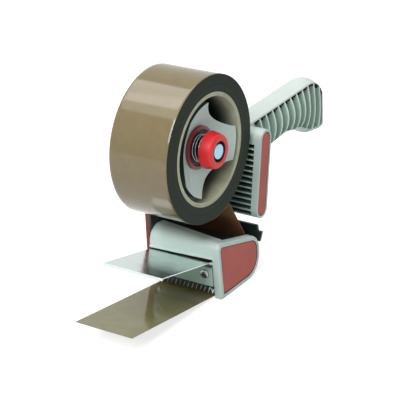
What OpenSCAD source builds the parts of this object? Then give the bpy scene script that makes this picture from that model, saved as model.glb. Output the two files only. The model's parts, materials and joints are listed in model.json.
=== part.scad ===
// Hand-held packing tape dispenser with a loaded roll.
// X runs across the tape, +X is the open loading side, +Y points back to the handle, Z is up.
// Profiles are drawn in the side view, [y, z], with y = 0 at the roll's axis and z = 0 at the floor.

/* [Tape] */
// Width of the tape
tape_w = 48; // [40:0.5:56]
// Outer diameter of the roll
roll_d = 107; // [92:1:110]
// Bore of the cardboard core
core_id = 76; // [74:0.5:78]
// Wall of the cardboard core
core_t = 3; // [2:0.5:5]
// Thickness of the drawn-off film
film_t = 0.3; // [0.2:0.05:0.5]
// Where the film peels off the roll, in degrees back from straight below the axis
peel_angle = 24; // [15:1:32]
// Rise of the drawn-out strip towards its end, in degrees
strip_rise = 8; // [5:0.5:10]
// Radius of the bend where the strip starts to rise
strip_bend_r = 80; // [50:5:120]
// How far the drawn-out strip reaches ahead of the roll's axis
strip_reach = 103.5; // [75:0.5:130]

/* [Stand] */
// Height of the roll's axis above the floor
axis_h = 114.7; // [114:0.1:122]

/* [Head] */
// Clearance between the tape's edge and the near cheek
side_gap = 1.5; // [1:0.1:3]
// Clearance between the tape's edge and the chassis
far_gap = 2; // [2:0.1:4]
// Thickness of the near cheek
cheek_t = 6; // [5:0.1:8]
// Front of the cheek at the floor
cheek_front = -3.5; // [-6:0.1:-2]
// Front of the cheek at its top
cheek_brow = -6.5; // [-8:0.1:-5]
// Height of the cheek at its front
cheek_h = 46.2; // [44:0.1:48]
// Height of the cheek's top line at its back
cheek_h_back = 30.3; // [29:0.1:33]
// Cover of the cheek beyond the film on the roller
cheek_margin = 1; // [0.5:0.1:2]
// Width of the rim round the red inlays
rim_w = 3; // [2:0.1:4]
// Depth of the recess for the inlays
inlay_depth = 1.2; // [0.8:0.1:2]
// Wall of the hood bar
hood_t = 3; // [2:0.1:4]
// Top of the hood bar
hood_top = 48.5; // [48:0.1:50]
// Lower lip of the hood bar
hood_lip = 31.6; // [31.6:0.1:33]
// Front of the hood bar
hood_front = -9.3; // [-9.3:0.1:-8.5]
// Back of the hood bar
hood_back = 9; // [8:0.1:12]

/* [Roller] */
// Diameter of the application roller
roller_d = 30.4; // [26:0.1:31]
// Place of the roller's axis behind the roll's axis
roller_y = 33; // [30:0.1:38]
// Thickness of the rubber sleeve
sleeve_t = 3.2; // [2:0.1:5]
// Diameter of the roller's axle
roller_axle_d = 6; // [5:0.1:8]
// Clearance between the floor and the film below the roller
floor_gap = 0.8; // [0.5:0.1:2]

/* [Cutter] */
// Number of teeth
teeth = 14; // [10:1:24]
// Height of a tooth
tooth_h = 4; // [2:0.1:4]
// Thickness of the blade
blade_t = 0.9; // [0.5:0.1:1.2]
// Clearance between the teeth and the strip
blade_gap = 1.4; // [0.8:0.1:2]
// Thickness of the bracket that clamps the blade
bracket_t = 2; // [1.5:0.1:2.5]
// Distance of the blade's screws from the middle
blade_screw_x = 19; // [14:0.5:20]

/* [Guard flap] */
// Length of the flap from its pin
flap_len = 67.8; // [45:0.2:74]
// Thickness of the flap
flap_t = 0.8; // [0.6:0.1:1]
// Rise of the flap at rest, in degrees
flap_rise = 13; // [11:0.1:13]
// Diameter of the flap's pin
flap_pin_d = 3; // [2.5:0.1:3.2]
// Diameter of the flap's rolled knuckle
knuckle_d = 5; // [4.8:0.1:5.2]
// Height of the flap's turned-down front edge
hem_h = 2.4; // [1.2:0.1:2.6]
// Thickness of the flap's turned-down front edge
hem_t = 1.2; // [0.8:0.1:2]

/* [Chassis] */
// Thickness of the chassis plate
plate_t = 2; // [1.5:0.1:3]
// Thickness of the red cover
cover_t = 3; // [2.8:0.1:4]

/* [Column and handle] */
// Half the depth of the column
col_r = 7.4; // [6.4:0.1:7.6]
// Number of fins between the slots of the column
fin_slots = 13; // [8:1:13]
// Pitch of the fins
fin_pitch = 4.2; // [3:0.1:4.2]
// Thickness of a fin
fin_t = 1; // [0.8:0.1:1.5]
// How far the near face of the column stands inside the near cheek
column_inset = 1.5; // [0:0.1:3]
// Reach of the handle behind the roll's axis
handle_back = 187.5; // [184:0.5:195]
// Width of the handle
handle_w = 26; // [24:0.5:30]
// Height of the handle's top line at the column
handle_top = 104; // [103:0.5:106]
// Rise of the handle's top line towards its end
handle_lift = 4; // [0:0.5:5]
// Height of the handle's underside
handle_low = 76; // [75:0.5:79]
// Height of the hook's underside
hook_low = 60.8; // [58:0.2:66]
// Number of grooves along the handle
grooves = 12; // [6:1:12]
// Pitch of the grooves
groove_pitch = 9; // [8:0.1:9]
// Width of a groove
groove_w = 7.2; // [4:0.1:7.4]
// Thickness of the web between the grooves of both sides
web_t = 5; // [3:0.5:10]

/* [Hub and brake] */
// Diameter of the axle
axle_d = 11.5; // [8:0.5:12]
// Radius of the hub's arms
hub_tip_r = 34.7; // [33.5:0.1:36]
// Least radius between the arms
hub_waist_r = 23; // [20:0.5:24]
// Angle between the tips at one cut, in degrees
hub_cut = 78.5; // [70:0.5:84]
// Direction of the first cut, in degrees up from straight back
hub_turn = 48.8; // [0:0.1:119]
// Radius of the brake cup
cup_r = 15.7; // [15:0.1:16]
// Height of the brake cup
cup_h = 2.5; // [2:0.1:3]
// Length of the brake spring
spring_len = 7; // [6.8:0.1:8]
// Wire of the brake spring
spring_wire = 1.2; // [0.8:0.05:1.2]
// Mean radius of the brake spring
spring_r = 9.5; // [8.5:0.1:10]
// Turns of the brake spring
spring_turns = 2.25; // [1.75:0.25:2.75]
// Thickness of the brake washer
washer_t = 0.8; // [0.5:0.1:1.2]
// Length of the knob
knob_len = 9.5; // [8:0.1:12]
// Radius of the knob at its back
knob_r_back = 13.8; // [13:0.1:15]
// Radius of the knob at its front
knob_r_front = 12.4; // [11:0.1:13]

/* [Screws] */
// Shank diameter of the screws
screw_d = 3.5; // [3:0.1:4]
// Head diameter of the screws
screw_head_d = 7; // [6:0.1:7.5]
// Head height of the screws
screw_head_h = 1.9; // [1.5:0.1:2]
// Length of the screws below the head
screw_len = 14; // [10:0.5:16]

/* [Fits] */
// Radial clearance of fixed fits
fit = 0.05; // [0.03:0.01:0.1]
// Clearance between film and what turns under it
film_gap = 0.3; // [0.3:0.05:0.5]

/* [Hidden] */

$fn = 72;
arc_steps = 12;
grey_green = "#a9b8b0";
brick_red = "#9c5246";
bright_red = "#d8333a";
steel = "#c8ccd0";
black = "#1c1e1e";
tape_brown = "#8f7f5e";

// Places across the tape
near_in = tape_w / 2 + side_gap;
near_out = near_in + cheek_t;
far_in = -(tape_w / 2 + far_gap);
far_out = far_in - plate_t;
cover_out = far_out - cover_t;
column_near = near_out - column_inset;

// Roll, roller and film in the side view
roll_r = roll_d / 2;
roll_axis = [0, axis_h];
roller_r = roller_d / 2;
film_mid_r = roller_r + film_gap + film_t / 2;
roller_axis = [roller_y, floor_gap + film_t / 2 + film_mid_r];
peel_r = roll_r + film_gap + film_t;
peel_point = roll_axis + peel_r * [sin(peel_angle), -cos(peel_angle)];
to_peel = peel_point - roller_axis;
web_angle = atan2(to_peel[1], to_peel[0]) - acos(film_mid_r / norm(to_peel));
leave_angle = -90;
strip_low = roller_axis[1] - film_mid_r;
bend_start = 6;
bend_centre = [bend_start, strip_low + strip_bend_r];
bend_end = bend_centre + strip_bend_r * [-sin(strip_rise), -cos(strip_rise)];
strip_end = [-strip_reach, bend_end[1] + (bend_end[0] + strip_reach) * tan(strip_rise)];

// Cheek
cheek_back = roller_y + film_mid_r + film_t / 2 + cheek_margin;
cheek_low_r = roller_axis[1] - 0.1;
cheek_top_r = 14;
cheek_brow_r = 4;

// Hood bar
hood_drop = 2;
hood_r = 10;
lip_slant = 0.7;

// Blade, its rail and its bracket
rail_front = -3;
rail_depth = 7;
rail_top = 23.5;
blade_y = rail_front - blade_t;
blade_low = bend_end[1] + film_t + blade_gap;
rail_low = blade_low + tooth_h + 2;
blade_screw_z = rail_top - 3.5;
blade_top = blade_screw_z + 3;
blade_w = tape_w + 2;
bracket_low = rail_low + 1;
bracket_top = rail_top + 1;
tooth_pitch = blade_w / teeth;

// Guard flap
flap_axis = [-1.5, 27];
flap_w = tape_w + 2.4;
plate_front = -6;
plate_foot_r = 14;
spring_room = 10;
spring_sleeve_d = 6;

// Rear flange of the chassis
flange_foot = [54.5, 22];
flange_top = [52, 36];
flange_step = 31;
flange_short = near_out - 3.5;
flange_slant = 3;

// Column and handle
col_foot = [56.3, 48.6];
col_head = [64.7, 100.4];
col_len = norm(col_head - col_foot);
col_lean = atan2(col_head[0] - col_foot[0], col_head[1] - col_foot[1]);
slot_depth = 9.5;
slot_low = -4.8;
column_rim = 1.7;
flange_t = 5.2;
handle_mid = [col_head[0] + 56, (handle_top + handle_low) / 2 + 2.3];
handle_bend_r = 196;
side_bow_r = 34;
groove_first = col_head[0] + 21.5;
groove_top_gap = 1.2;
groove_low_gap = 2.4;
handle_end_r = 22;
taper_start = col_head[0] + 77;
end_half = 9.3;
end_round = 2;
belly_start = col_head[0] + 27;
belly_end = col_head[0] + 64;
hook_root = col_head[0] + 84;
hook_tip = col_head[0] + 103;
hook_r = 6;

// Hub, brake and axle along the axis
hub_tip_x = tape_w / 2 - 0.5;
hub_dish = 10;
hub_flat_x = hub_tip_x - hub_dish;
hub_flat_r = cup_r + 0.8;
pad_r = core_id / 2 - 0.3;
pad_t = 4.7;
pad_top_x = hub_tip_x - 4.5;
cut_reach = (hub_tip_r * hub_tip_r - hub_waist_r * hub_waist_r)
    / (2 * (hub_tip_r * cos(hub_cut / 2) - hub_waist_r));
cut_r = cut_reach - hub_waist_r;
axle_flange_t = 1.7;
axle_flange_w = 5;
bush_t = 3;
bush_r = axle_d / 2 + fit + bush_t;
tube_t = 4;
tube_r = bush_r + tube_t;
collar_w = 8;
bush_back = far_in + axle_flange_t + 0.2;
disc_back = far_in + 0.5;
disc_r = core_id / 2 + core_t + 2;
cup_x = hub_flat_x + fit;
cup_floor = 1.1;
cup_wall = 2.5;
spring_x = cup_x + cup_floor;
washer_x = spring_x + spring_len;
knob_x = washer_x + washer_t + fit;
knob_front = knob_x + knob_len;
insert_len = 4.5;
insert_t = 1;
insert_r = axle_d / 2 + insert_t;
axle_end = knob_front - 0.4;
axle_end_r = 1.2;
nut_af = 18;
nut_h = 3.8;

// Middle of the whole length, which becomes y = 0
axis_y = (strip_reach - handle_back) / 2;

// Unit vector along v
function unit(v) = v / norm(v);

// Points of the corner at b between a and c, rounded with radius r
function corner(a, b, c, r) =
    r <= 0 ? [b] :
    let (u = unit(a - b),
         v = unit(c - b),
         half = acos(u * v) / 2,
         centre = b + unit(u + v) * r / sin(half),
         p = b + u * r / tan(half) - centre,
         q = b + v * r / tan(half) - centre,
         start = atan2(p[1], p[0]),
         turn = (atan2(q[1], q[0]) - start + 540) % 360 - 180)
    [for (i = [0:arc_steps])
        centre + r * [cos(start + turn * i / arc_steps), sin(start + turn * i / arc_steps)]];

// Outline through corners given as [y, z, radius]
function rounded(path) =
    let (n = len(path))
    [for (i = [0:n - 1])
        let (a = path[(i + n - 1) % n], b = path[i], c = path[(i + 1) % n])
        each corner([a[0], a[1]], [b[0], b[1]], [c[0], c[1]], b[2])];

// Points of an arc about centre
function arc(centre, r, from, to, steps) =
    [for (i = [0:steps]) centre + r * [cos(from + (to - from) * i / steps),
                                       sin(from + (to - from) * i / steps)]];

// Puts the roll's axis at its place along the length
module seat() {
    translate([0, axis_y, 0])
        children();
}

// Extrudes a side view, [y, z], from x0 to x1
module along_x(x0, x1) {
    translate([x0, 0, 0])
        rotate([90, 0, 90])
            linear_extrude(x1 - x0)
                children();
}

// Extrudes a cross section, [x, z], from y0 to y1
module along_y(y0, y1) {
    translate([0, y1, 0])
        rotate([90, 0, 0])
            linear_extrude(y1 - y0)
                children();
}

// Round bar along X at a point of the side view
module rod_x(at, d, x0, x1) {
    translate([x0, at[0], at[1]])
        rotate([0, 90, 0])
            cylinder(d = d, h = x1 - x0);
}

// Round bar along Y
module rod_y(x, z, d, y0, y1) {
    translate([x, y1, z])
        rotate([90, 0, 0])
            cylinder(d = d, h = y1 - y0);
}

// Turns a profile, [radius, x], about a line along X
module turn_x(at) {
    translate([0, at[0], at[1]])
        rotate([0, 90, 0])
            rotate_extrude()
                children();
}

// Rectangle of a turned profile
module ring_profile(r0, r1, x0, x1) {
    translate([r0, x0])
        square([r1 - r0, x1 - x0]);
}

// Side view of the near cheek, drawn in by a margin
module cheek_shape(m) {
    slope = atan2(cheek_h - cheek_h_back, cheek_back - cheek_brow);
    polygon(rounded([
        [cheek_front + m * 1.02, m, max(1.5 - m / 3, 0.5)],
        [cheek_back - m, m, cheek_low_r - m],
        [cheek_back - m, cheek_h_back - m / cos(slope) + m * tan(slope), cheek_top_r - m],
        [cheek_brow + m, cheek_h - m / cos(slope) - m * tan(slope), max(cheek_brow_r - m / 2, 1)]]));
}

// Side view of the chassis plate and its cover
module plate_shape() {
    polygon(rounded([
        [cheek_front, 0, plate_foot_r],
        [cheek_back, 0, 13],
        [flange_foot[0] + plate_t, flange_foot[1], 1],
        [flange_top[0] + plate_t, flange_top[1], 2],
        [col_foot[0] + col_r + 1, col_foot[1] - 4, 6],
        [col_head[0] + col_r + 1, col_head[1], 6],
        [col_head[0] - 4, col_head[1] + col_r, 5],
        [26, axis_h + 6, 12],
        [17, axis_h + 25, 18],
        [-24, axis_h + 25, 22],
        [-25, axis_h - 22, 16],
        [plate_front, axis_h - 54, 14],
        [plate_front, hood_lip - 2, 10]]));
}

// Column in its own leaning frame: x back, y up from the centre of its foot
module column_frame() {
    translate(col_foot)
        rotate(-col_lean)
            children();
}

// Obround of the column, drawn in by a margin
module column_shape(m) {
    column_frame() {
        circle(r = col_r - m);
        translate([0, col_len])
            circle(r = col_r - m);
        translate([m - col_r, 0])
            square([2 * (col_r - m), col_len]);
    }
}

// Slots of the column's front, which leave the fins between them
module slot_shape() {
    column_frame()
        for (i = [0:fin_slots - 1])
            translate([-col_r - 1, slot_low + i * fin_pitch])
                square([slot_depth + 1, fin_pitch - fin_t]);
}

// Side view of the handle, with its top and end drawn in by one margin and its underside by another
module handle_shape(m, b) {
    polygon(rounded([
        [col_head[0], handle_top - m, 0],
        [handle_back - m, handle_top + handle_lift - m, handle_end_r - m],
        [handle_back - m, hook_low + b, hook_r],
        [hook_tip, hook_low + 2.6 + b, 20],
        [hook_root, handle_low - 1.6 + b, 14],
        [belly_end, handle_low + 3.6 + b, 35],
        [belly_start, handle_low + b, 25],
        [col_foot[0] + 4.5, handle_low - 7.5, 0]]));
}

// Plan of the handle, narrower towards its end, with the end's corners rounded
module handle_plan() {
    half = handle_w / 2;
    polygon(rounded([
        [half, col_foot[0], 0],
        [half, taper_start, 0],
        [end_half, handle_back, end_round],
        [-end_half, handle_back, end_round],
        [-half, taper_start, 0],
        [-half, col_foot[0], 0]]));
}

// Bar with bowed sides, bent down towards the handle's end
module bowed_bar() {
    turn_x(handle_mid - [0, handle_bend_r])
        intersection() {
            translate([handle_bend_r, handle_w / 2 - side_bow_r])
                circle(r = side_bow_r);
            translate([handle_bend_r, side_bow_r - handle_w / 2])
                circle(r = side_bow_r);
        }
}

// Side view of the grooves between the handle's ribs, which end below its spine and above its belly
module groove_shape() {
    high = handle_top + handle_lift;
    intersection() {
        handle_shape(groove_top_gap, groove_low_gap);
        for (i = [0:grooves - 1])
            translate([groove_first + i * groove_pitch - groove_w / 2, hook_low])
                square([groove_w, high - hook_low]);
    }
}

// Places of the side screws in the side view
side_screw_places = [
    [1, hood_top - hood_t - 4],
    [rail_front + rail_depth / 2, (rail_low + rail_top) / 2],
    col_foot + 0.12 * (col_head - col_foot),
    col_foot + 0.9 * (col_head - col_foot)];

// Holes for the side screws from x0 to x1
module screw_holes(x0, x1) {
    for (at = side_screw_places)
        rod_x(at, screw_d + 2 * fit, x0, x1);
}

// Points of the spring's wire: a straight end, the helix and a straight end
function coil_path(r, length, wire, turns) =
    let (steps = 8,
         n = round(turns * steps),
         rise = (length - 2 * wire) / n)
    concat([[0, r, 0]],
           [for (i = [0:n]) [wire + i * rise, r * cos(360 * i / steps), r * sin(360 * i / steps)]],
           [[length, r * cos(360 * n / steps), r * sin(360 * n / steps)]]);

// Least gap of a wire to itself, between points at least half a turn apart
function coil_gap(path, wire) =
    min([for (i = [1:len(path) - 2], j = [i + 5:1:len(path) - 2]) norm(path[i] - path[j])]) - wire;

// Tube of six sides along a path that winds about the X axis
module coil_tube(path, wire) {
    sides = 6;
    n = len(path);
    rings = [for (i = [0:n - 1])
        let (t = unit(path[min(i + 1, n - 1)] - path[max(i - 1, 0)]),
             out = unit([0, path[i][1], path[i][2]]),
             side = unit(cross(t, out)),
             up = cross(side, t))
        for (k = [0:sides - 1])
            path[i] + wire / 2 * (cos(360 * k / sides) * up + sin(360 * k / sides) * side)];
    walls = [for (i = [0:n - 2], k = [0:sides - 1])
        let (a = i * sides + k,
             b = i * sides + (k + 1) % sides)
        each [[a, a + sides, b], [b, a + sides, b + sides]]];
    ends = [for (k = [1:sides - 2])
        each [[0, k, k + 1], [(n - 1) * sides, (n - 1) * sides + k + 1, (n - 1) * sides + k]]];
    polyhedron(points = rings, faces = concat(walls, ends));
}

// Bent black plate: the far side and the flange behind the roller
module chassis() {
    color(black) seat() {
        difference() {
            along_x(far_out, far_in)
                plate_shape();
            rod_x(roll_axis, axle_d + 2 * fit, far_out - 1, far_in + 1);
            rod_x(roller_axis, roller_axle_d + 2 * fit, far_out - 1, far_in + 1);
            rod_x(flap_axis, flap_pin_d + 2 * fit, far_out - 1, far_in + 1);
            screw_holes(far_out - 1, far_in + 1);
        }
        along_x(far_in - plate_t / 2, flange_short)
            flange_shape(flange_foot[1], flange_top[1]);
        difference() {
            along_x(flange_short - 1, near_out)
                flange_shape(flange_foot[1], flange_step);
            flange_end();
        }
    }
}

// What is cut off the flange's near end, which slants in towards its foot
module flange_end() {
    rise = flange_step - flange_foot[1];
    translate([near_out - flange_slant, flange_top[0] - plate_t, flange_foot[1]])
        rotate([0, atan2(flange_slant, rise), 0])
            translate([0, 0, -rise])
                cube([2 * flange_slant, 6 * plate_t, 3 * rise]);
}

// Side view of the flange between two heights
module flange_shape(low, high) {
    lean = (flange_top[0] - flange_foot[0]) / (flange_top[1] - flange_foot[1]);
    y0 = flange_foot[0] + (low - flange_foot[1]) * lean;
    y1 = flange_foot[0] + (high - flange_foot[1]) * lean;
    polygon([[y0, low], [y0 + plate_t, low], [y1 + plate_t, high], [y1, high]]);
}

// Red panel over the chassis
module side_cover() {
    color(brick_red) seat() difference() {
        along_x(cover_out, far_out)
            plate_shape();
        rod_x(roll_axis, nut_af + 6, cover_out - 1, far_out + 1);
        screw_holes(cover_out - 1, far_out + 1);
        for (at = side_screw_places)
            rod_x(at, screw_head_d + 0.6, cover_out - 1, cover_out + screw_head_h);
    }
}

// Screws through cover and chassis into column, hood and rail
module side_screws() {
    color(steel) seat() for (at = side_screw_places) {
        rod_x(at, screw_head_d, cover_out, cover_out + screw_head_h);
        rod_x(at, screw_d, cover_out + screw_head_h - 0.5, cover_out + screw_head_h + screw_len);
    }
}

// Column with its fins, and the ribbed handle, in one moulding
module grip_frame() {
    color(grey_green) seat() difference() {
        union() {
            difference() {
                along_x(far_in, column_near)
                    column_shape(0);
                along_x(far_in + 4, column_near - flange_t)
                    slot_shape();
            }
            difference() {
                intersection() {
                    along_x(-handle_w / 2, handle_w / 2)
                        handle_shape(0, 0);
                    bowed_bar();
                    linear_extrude(axis_h)
                        handle_plan();
                }
                difference() {
                    along_x(-handle_w, handle_w)
                        groove_shape();
                    along_x(-web_t / 2, web_t / 2)
                        handle_shape(0, 0);
                }
            }
        }
        along_x(column_near - inlay_depth, column_near + 1)
            column_shape(column_rim);
        screw_holes(far_in - 1, cover_out + screw_head_h + screw_len + 1);
    }
}

// Red inlay on the near end of the column
module column_inlay() {
    color(brick_red) seat()
        along_x(column_near - inlay_depth, column_near - 0.3)
            column_shape(column_rim + fit);
}

// Outer corners of the hood bar in the side view, from its lip over its top to its back
function hood_outside() = [
    [hood_front + lip_slant, hood_lip, 0.5],
    [hood_front, hood_top, hood_r],
    [hood_back, hood_top - hood_drop, 1]];

// Hood bar, blade rail and near cheek in one moulding
module head_housing() {
    color(grey_green) seat() difference() {
        union() {
            along_x(near_in, near_out)
                cheek_shape(0);
            along_x(far_in, near_in + 1)
                polygon(rounded(concat(hood_outside(), [
                    [hood_back, hood_top - hood_drop - hood_t, 1],
                    [hood_front + hood_t, hood_top - hood_t, hood_r - hood_t],
                    [hood_front + hood_t + lip_slant, hood_lip, 0.5]])));
            along_x(near_in - hood_t, near_in + 1)
                polygon(rounded(concat(hood_outside(), [
                    [hood_back, hood_lip, 1]])));
            rod_x(side_screw_places[0], screw_d + 5, far_in, far_in + screw_len);
            along_x(far_in, near_in + 1)
                polygon(rounded([
                    [rail_front, rail_low, 0.5],
                    [rail_front + rail_depth, rail_low, 1.5],
                    [rail_front + rail_depth, rail_top, 1.5],
                    [rail_front, rail_top, 0.5]]));
        }
        along_x(near_out - inlay_depth, near_out + 1)
            cheek_shape(rim_w);
        rod_x(roller_axis, roller_axle_d + 2 * fit, near_in - 1, near_out - inlay_depth - 1);
        rod_x(flap_axis, flap_pin_d + 2 * fit, near_in - 1, near_out - inlay_depth - 1);
        screw_holes(far_in - 1, cover_out + screw_head_h + screw_len + 1);
        for (side = [-1, 1])
            rod_y(side * blade_screw_x, blade_screw_z, screw_d + 2 * fit, rail_front - 1,
                  rail_front + rail_depth + 1);
    }
}

// Red inlay of the near cheek
module cheek_inlay() {
    color(brick_red) seat()
        along_x(near_out - inlay_depth, near_out - 0.3)
            cheek_shape(rim_w + fit);
}

// Steel pin that the roller turns on
module roller_axle() {
    color(steel) seat()
        rod_x(roller_axis, roller_axle_d, far_out, near_out - inlay_depth - 1.2);
}

// Plate that clamps the blade to the rail
module blade_bracket() {
    color(grey_green) seat() difference() {
        along_x(-blade_w / 2, blade_w / 2)
            polygon(rounded([
                [blade_y - bracket_t, bracket_low, 0.6],
                [blade_y, bracket_low, 0],
                [blade_y, bracket_top, 0],
                [blade_y - bracket_t, bracket_top, 0.6]]));
        blade_holes();
    }
}

// Holes of the two blade screws
module blade_holes() {
    for (side = [-1, 1])
        rod_y(side * blade_screw_x, blade_screw_z, screw_d + 2 * fit, blade_y - bracket_t - 1,
              rail_front + 1);
}

// Steel blade with its row of teeth
module cutter_blade() {
    color(steel) seat() difference() {
        along_y(blade_y, rail_front)
            polygon(concat(
                [[blade_w / 2, blade_top], [-blade_w / 2, blade_top]],
                [for (i = [0:teeth - 1])
                    each [[-blade_w / 2 + i * tooth_pitch, blade_low + tooth_h],
                          [-blade_w / 2 + (i + 0.5) * tooth_pitch, blade_low]]],
                [[blade_w / 2, blade_low + tooth_h]]));
        blade_holes();
    }
}

// Screws through bracket and blade into the rail
module blade_screws() {
    head_y = blade_y - bracket_t - screw_head_h;
    color(steel) seat() for (side = [-1, 1]) {
        rod_y(side * blade_screw_x, blade_screw_z, screw_head_d, head_y, blade_y - bracket_t);
        rod_y(side * blade_screw_x, blade_screw_z, screw_d, blade_y - bracket_t - 0.5,
              rail_front + rail_depth);
    }
}

// Steel pin of the guard flap
module flap_pin() {
    color(steel) seat()
        rod_x(flap_axis, flap_pin_d, far_out, near_out - inlay_depth - 1.2);
}

// Sleeve of the flap's torsion spring
module flap_spring() {
    color(steel) seat()
        turn_x(flap_axis)
            ring_profile(flap_pin_d / 2 + fit, spring_sleeve_d / 2, 1 - spring_room / 2, spring_room / 2 - 1);
}

// Bright flap over the strip, rolled round its pin
module guard_flap() {
    color(steel) seat() translate([0, flap_axis[0], flap_axis[1]]) rotate([-flap_rise, 0, 0])
        difference() {
            union() {
                rod_x([0, 0], knuckle_d, -flap_w / 2, flap_w / 2);
                translate([-flap_w / 2, -flap_len, knuckle_d / 2 - flap_t])
                    cube([flap_w, flap_len, flap_t]);
                translate([-flap_w / 2, -flap_len, knuckle_d / 2 - hem_h])
                    cube([flap_w, hem_t, hem_h]);
            }
            rod_x([0, 0], flap_pin_d + 2 * fit, -flap_w, flap_w);
            translate([-spring_room / 2, -knuckle_d, -knuckle_d])
                cube([spring_room, 2 * knuckle_d, 2 * knuckle_d]);
        }
}

// Steel axle with its flange and domed end
module axle() {
    color(steel) seat() turn_x(roll_axis) {
        polygon(rounded([
            [0, -knob_front, 0],
            [axle_d / 2, -knob_front, 0.6],
            [axle_d / 2, axle_end, axle_end_r],
            [0, axle_end, 0]]));
        ring_profile(axle_d / 2 - 1, axle_d / 2 + axle_flange_w, far_in, far_in + axle_flange_t);
    }
}

// Nut that holds the axle in the chassis
module axle_nut() {
    color(steel) seat() difference() {
        translate([far_out - nut_h, 0, axis_h])
            rotate([0, 90, 0])
                cylinder(d = nut_af / cos(30), h = nut_h, $fn = 6);
        rod_x(roll_axis, axle_d + 2 * fit, far_out - nut_h - 1, far_out + 1);
    }
}

// Red cup that the spring presses on the hub
module brake_cup() {
    color(bright_red) seat() turn_x(roll_axis) {
        ring_profile(axle_d / 2 + fit, cup_r, cup_x, cup_x + cup_floor);
        ring_profile(cup_r - cup_wall, cup_r, cup_x, cup_x + cup_h);
    }
}

// Coiled brake spring between cup and washer
module brake_spring() {
    path = coil_path(spring_r, spring_len, spring_wire, spring_turns);
    echo(brake_spring_least_gap = coil_gap(path, spring_wire));
    color(steel) seat()
        translate([spring_x, 0, axis_h])
            coil_tube(path, spring_wire);
}

// Film from the roll, round the roller and out to the front
module tape_strip() {
    web_side = film_t / 2 * [cos(web_angle), sin(web_angle)];
    end_side = film_t / 2 * [sin(strip_rise), cos(strip_rise)];
    wrap_steps = 24;
    bend_steps = 4;
    color(tape_brown) seat()
        along_x(-tape_w / 2, tape_w / 2)
            polygon(concat(
                [peel_point + web_side],
                arc(roller_axis, film_mid_r + film_t / 2, web_angle, leave_angle, wrap_steps),
                arc(bend_centre, strip_bend_r + film_t / 2, -90, -90 - strip_rise, bend_steps),
                [strip_end - end_side, strip_end + end_side],
                arc(bend_centre, strip_bend_r - film_t / 2, -90 - strip_rise, -90, bend_steps),
                arc(roller_axis, film_mid_r - film_t / 2, leave_angle, web_angle, wrap_steps),
                [peel_point - web_side]));
}

// Dished hub with three arms on a bushed tube
module hub() {
    color(grey_green) seat() {
        turn_x(roll_axis) {
            ring_profile(bush_r + fit, tube_r, bush_back, hub_flat_x);
            ring_profile(tube_r - 1, tube_r + collar_w, disc_back, bush_back + 2);
            ring_profile(tube_r - 1, disc_r, disc_back, -tape_w / 2 - fit);
        }
        intersection() {
            turn_x(roll_axis) {
                polygon([
                    [tube_r - 2, hub_flat_x - 3],
                    [tube_r - 2, hub_flat_x],
                    [hub_flat_r, hub_flat_x],
                    [hub_tip_r, hub_tip_x],
                    [hub_tip_r, pad_top_x - 1]]);
                ring_profile(pad_r - pad_t, pad_r, -tape_w / 2 - 1, pad_top_x);
            }
            along_x(-tape_w, tape_w)
                translate(roll_axis)
                    difference() {
                        circle(r = pad_r + 1);
                        for (i = [0:2])
                            rotate(hub_turn + 120 * i)
                                translate([cut_reach, 0])
                                    circle(r = cut_r);
                    }
        }
    }
}

// Sleeve bearing of the hub
module hub_bush() {
    color("#d9d6c8") seat()
        turn_x(roll_axis)
            ring_profile(axle_d / 2 + fit, bush_r, bush_back, hub_flat_x);
}

// Cardboard core
module tape_core() {
    color("#b9ad90") seat()
        turn_x(roll_axis)
            ring_profile(core_id / 2, core_id / 2 + core_t, -tape_w / 2, tape_w / 2);
}

// Wound tape
module tape_roll() {
    color(tape_brown) seat()
        turn_x(roll_axis)
            ring_profile(core_id / 2 + core_t + fit, roll_r, -tape_w / 2, tape_w / 2);
}

// Core of the application roller
module roller_core() {
    shell_r = roller_r - sleeve_t - fit;
    end_len = 5;
    half = tape_w / 2 + 0.4;
    color("#e4e2da") seat() turn_x(roller_axis) {
        ring_profile(shell_r - 2.5, shell_r, -half, half);
        for (side = [-1, 1])
            translate([0, side * (half - end_len / 2)])
                ring_profile(roller_axle_d / 2 + fit, shell_r - 1, -end_len / 2, end_len / 2);
    }
}

// Rubber sleeve of the application roller
module roller_sleeve() {
    color(black) seat()
        turn_x(roller_axis)
            ring_profile(roller_r - sleeve_t, roller_r, -tape_w / 2 - 0.4, tape_w / 2 + 0.4);
}

// Washer between spring and knob
module brake_washer() {
    color(steel) seat()
        turn_x(roll_axis)
            ring_profile(axle_d / 2 + 0.1, spring_r + 2, washer_x, washer_x + washer_t);
}

// Red brake knob
module brake_knob() {
    color(bright_red) seat()
        turn_x(roll_axis)
            polygon(rounded([
                [insert_r + fit, knob_x, 0],
                [knob_r_back, knob_x, 0.8],
                [knob_r_front, knob_front, 1.6],
                [insert_r + fit, knob_front, 0.4]]));
}

// Threaded insert of the knob
module knob_insert() {
    color("#b08d4a") seat()
        turn_x(roll_axis)
            ring_profile(axle_d / 2 + fit, insert_r, knob_x, knob_x + insert_len);
}

chassis();
side_cover();
side_screws();
grip_frame();
column_inlay();
head_housing();
cheek_inlay();
roller_axle();
blade_bracket();
cutter_blade();
blade_screws();
flap_pin();
flap_spring();
axle();
axle_nut();
brake_cup();
brake_spring();
tape_strip();
hub();
hub_bush();
tape_core();
tape_roll();
roller_core();
roller_sleeve();
guard_flap();
brake_washer();
brake_knob();
knob_insert();
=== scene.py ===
import json
import math

import bmesh
import bpy
from mathutils import Matrix, Vector, noise


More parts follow.
